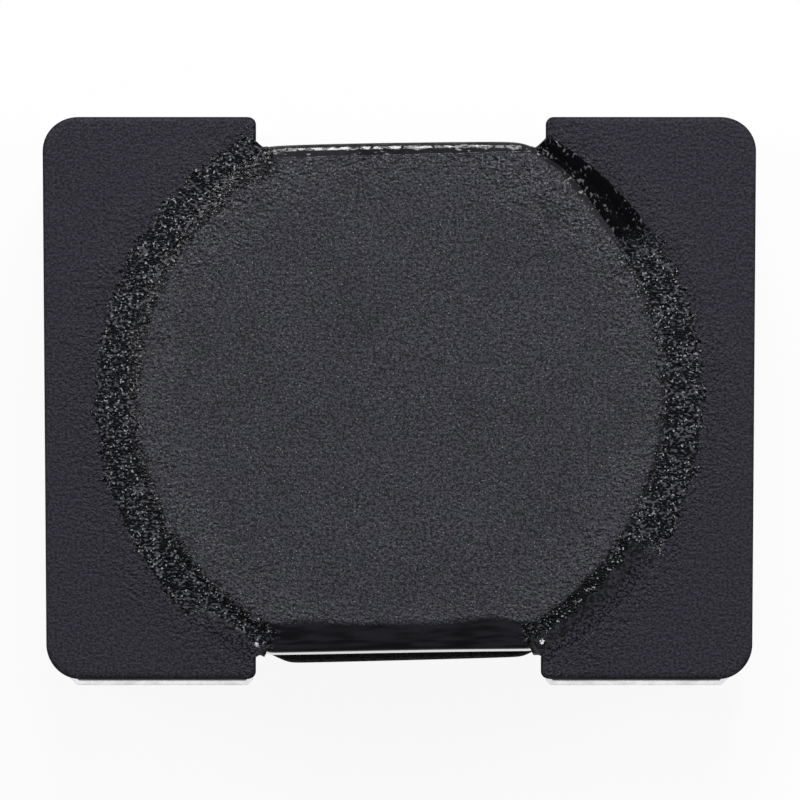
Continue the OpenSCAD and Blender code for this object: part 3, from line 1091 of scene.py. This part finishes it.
def white_to_the_eye(finish, lit, white_share):
    """Mixes plain white into a lit surface, for camera and mirror rays only."""
    camera_ray = finish.node("ShaderNodeLightPath", out="Is Camera Ray")
    mirror_ray = finish.node("ShaderNodeLightPath", out="Is Glossy Ray")
    share = camera_ray.at_least(mirror_ray) * white_share
    white = finish.node("ShaderNodeEmission", None, {"Color": (1, 1, 1), "Strength": 1.0})
    return finish.node("ShaderNodeMixShader", None, {0: share, 1: lit, 2: white})


def floor():
    """Plain pale floor."""
    f = Finish("pale_floor", Base_Color=(0.93, 0.93, 0.93), Roughness=0.9,
               Specular_IOR_Level=0.0)
    lit = Value(f, f.shader.outputs[0])
    f.feed(f.tree.nodes["Material Output"].inputs["Surface"], white_to_the_eye(f, lit, 0.92))
    mesh = bpy.data.meshes.new("floor")
    half = 0.5
    mesh.from_pydata([(-half, -half, 0), (half, -half, 0), (half, half, 0), (-half, half, 0)],
                     [], [(0, 1, 2, 3)])
    mesh.materials.append(f.material)
    obj = bpy.data.objects.new("floor", mesh)
    bpy.context.scene.collection.objects.link(obj)


def studio_light(name, azimuth, elevation, share, size):
    """A square lamp that gives its share of the light falling on a level surface."""
    distance = 0.12
    lamp = bpy.data.lights.new(name, "AREA")
    lamp.size = size
    up = radians(elevation)
    lamp.energy = pi ** 2 * distance ** 2 * share / sin(up)
    obj = bpy.data.objects.new(name, lamp)
    turn = radians(azimuth)
    place = Vector((sin(turn) * cos(up), cos(turn) * cos(up), sin(up))) * distance
    obj.location = place
    obj.rotation_euler = place.to_track_quat("Z", "Y").to_euler()
    bpy.context.scene.collection.objects.link(obj)


def surroundings():
    """Dim room, darkest overhead, plain white where the camera looks past the floor."""
    world = bpy.data.worlds.new("studio")
    bpy.context.scene.world = world
    world.use_nodes = True
    room = Nodes(world.node_tree)
    around = room.node("ShaderNodeTexCoord", out="Generated")
    up = room.node("ShaderNodeSeparateXYZ", None, {0: around}, out="Z")
    dim = room.node("ShaderNodeMapRange", None,
                    {"Value": up, "From Min": 0.02, "From Max": 0.35, "To Min": 0.16,
                     "To Max": 0.08})
    seen = room.node("ShaderNodeLightPath", out="Is Camera Ray")
    background = world.node_tree.nodes["Background"]
    room.feed(background.inputs["Color"], (1, 1, 1))
    room.feed(background.inputs["Strength"],
              room.node("ShaderNodeMix", None, {0: seen, 2: dim, 3: 1.0}))


def camera():
    """Nearly straight above, standing a little to the south."""
    distance = 300.0
    stand_y = -6.9
    view_width = 14.31
    aim_x, aim_y = 0.012, -0.04
    target = Vector((aim_x, aim_y, SHIELD_TOP))
    place = Vector((aim_x, stand_y, SHIELD_TOP + distance))
    data = bpy.data.cameras.new("camera")
    obj = bpy.data.objects.new("camera", data)
    obj.location = place * MM
    obj.rotation_euler = (place - target).to_track_quat("Z", "Y").to_euler()
    data.sensor_width = 36.0
    data.lens = data.sensor_width * (place - target).length / view_width
    data.clip_start, data.clip_end = 0.001, 10
    bpy.context.scene.collection.objects.link(obj)
    bpy.context.scene.camera = obj


build_part()
floor()
surroundings()
camera()
studio_light("key", azimuth=5, elevation=50, share=0.56, size=0.040)
studio_light("left_fill", azimuth=-75, elevation=45, share=0.18, size=0.035)
studio_light("right_fill", azimuth=80, elevation=45, share=0.18, size=0.035)
bpy.context.scene.view_settings.view_transform = "Standard"
